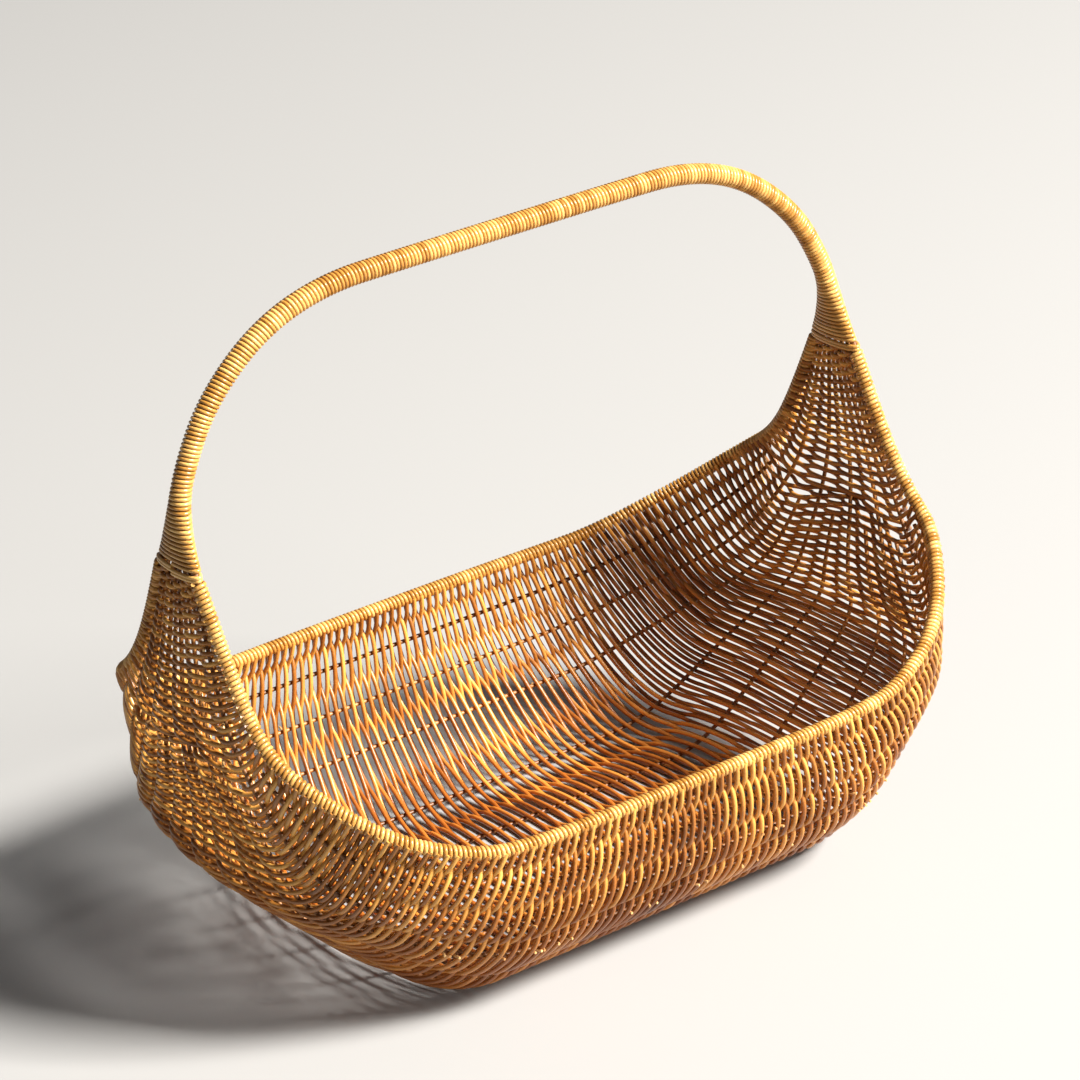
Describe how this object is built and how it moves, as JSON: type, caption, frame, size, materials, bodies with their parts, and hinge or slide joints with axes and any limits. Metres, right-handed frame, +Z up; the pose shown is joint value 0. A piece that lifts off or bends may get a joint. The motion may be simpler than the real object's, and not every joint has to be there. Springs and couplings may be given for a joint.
{
  "type": "handled wicker basket",
  "caption": "Long oval wicker basket with upturned ends and a fixed arched handle, woven of thin round rattan over lengthwise ribs.",
  "frame": {"origin": "centre of the bounding box at floor level", "axes": "+X along the length of the basket, +Y towards the back, +Z up"},
  "size_m": [0.49, 0.3234, 0.4158],
  "materials": {
    "cane": "satin",
    "rib": "satin",
    "weave": "satin",
    "wrap": "satin",
    "tie": "satin"
  },
  "bodies": {
    "root": {"edge_rod_front": "cane", "edge_rod_back": "cane", "handle_core": "cane", "handle_wrap": "wrap", "rim_wrap_front": "wrap", "rim_wrap_back": "wrap", "leg_wrap_left": "wrap", "leg_wrap_right": "wrap", "leg_tie_left": "tie", "leg_tie_right": "tie", "rib_01": "rib", "rib_02": "rib", "rib_03": "rib", "rib_04": "rib", "rib_05": "rib", "rib_06": "rib", "rib_07": "rib", "rib_08": "rib", "rib_09": "rib", "rib_10": "rib", "rib_11": "rib", "weave_leg_right": "weave", "weave_leg_left": "weave", "weave_end_right": "weave", "weave_end_left": "weave", "weave_corner_right_front": "weave", "weave_corner_right_back": "weave", "weave_corner_left_front": "weave", "weave_corner_left_back": "weave", "weave_front": "weave", "weave_back": "weave", "weave_floor": "weave"}
  },
  "joints": []
}
